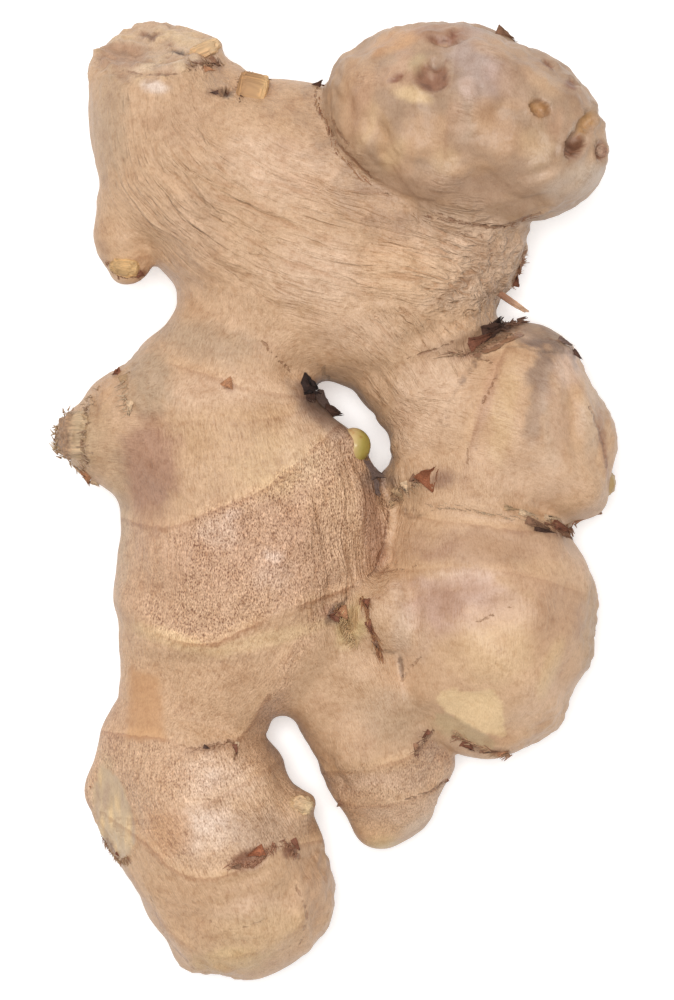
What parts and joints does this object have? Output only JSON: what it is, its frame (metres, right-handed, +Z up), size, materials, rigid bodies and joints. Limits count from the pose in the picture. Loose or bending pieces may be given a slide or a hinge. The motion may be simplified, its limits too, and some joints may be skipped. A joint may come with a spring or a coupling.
{
  "type": "ginger root",
  "caption": "Whole fresh ginger root: a flat-lying branched rhizome of swollen, ringed fingers with buds, scars and torn scale leaves, for kitchens, food stalls and still lifes.",
  "frame": {"origin": "on the surface the root lies on, under the middle of its bounding box", "axes": "+Z up from that surface; +Y along the root's length, from the longest finger's tip towards the crown scar; +X across it, towards the side of the raised knob and the heel"},
  "size_m": [0.0876, 0.1505, 0.0442],
  "materials": {
    "ginger_skin": "thin papery skin, pale tan with pink-brown rings, fine lengthwise wrinkles and dark pores, half matt with a soft waxy shine on the swellings"
  },
  "bodies": {
    "root": {"ginger_root": "ginger_skin"}
  },
  "joints": []
}
